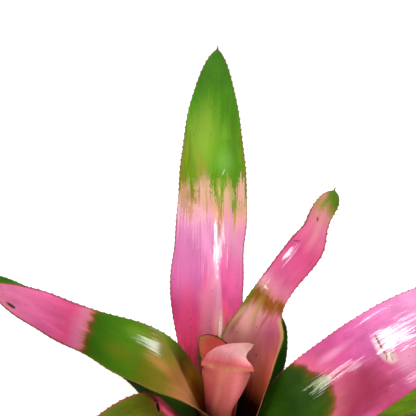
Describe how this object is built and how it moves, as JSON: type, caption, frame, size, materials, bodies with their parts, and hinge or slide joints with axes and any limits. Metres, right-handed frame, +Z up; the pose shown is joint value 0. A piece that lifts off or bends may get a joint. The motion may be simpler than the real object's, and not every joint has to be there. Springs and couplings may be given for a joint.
{
  "type": "cotton candy bromeliad",
  "caption": "Bare-rooted rosette plant with spiny strap leaves in pink and green that arch out from a short cut stem",
  "frame": {"origin": "centre of the flat cut face of the stem, on which the plant stands", "axes": "+Z up along the stem, +X to the viewer's right and +Y to the back, seen with the broad pink leaf on the right and the leaf that curves to the left on the left"},
  "size_m": [0.4484, 0.4056, 0.3563],
  "materials": {
    "young_leaf": "waxy, glossy, pink with a green tip",
    "heart_leaf": "waxy, satin, salmon pink",
    "old_leaf": "waxy, satin, green with a brown margin",
    "stem": "fibrous, matte"
  },
  "bodies": {
    "root": {"stem": "stem", "leaf_01": "heart_leaf", "leaf_02": "heart_leaf", "leaf_03": "young_leaf", "leaf_04": "young_leaf", "leaf_05": "young_leaf", "leaf_06": "young_leaf", "leaf_07": "old_leaf", "leaf_08": "old_leaf", "leaf_09": "old_leaf", "leaf_10": "old_leaf", "leaf_11": "old_leaf", "leaf_12": "old_leaf", "leaf_13": "old_leaf", "leaf_14": "old_leaf", "leaf_15": "old_leaf", "leaf_16": "old_leaf", "leaf_17": "old_leaf"}
  },
  "joints": []
}
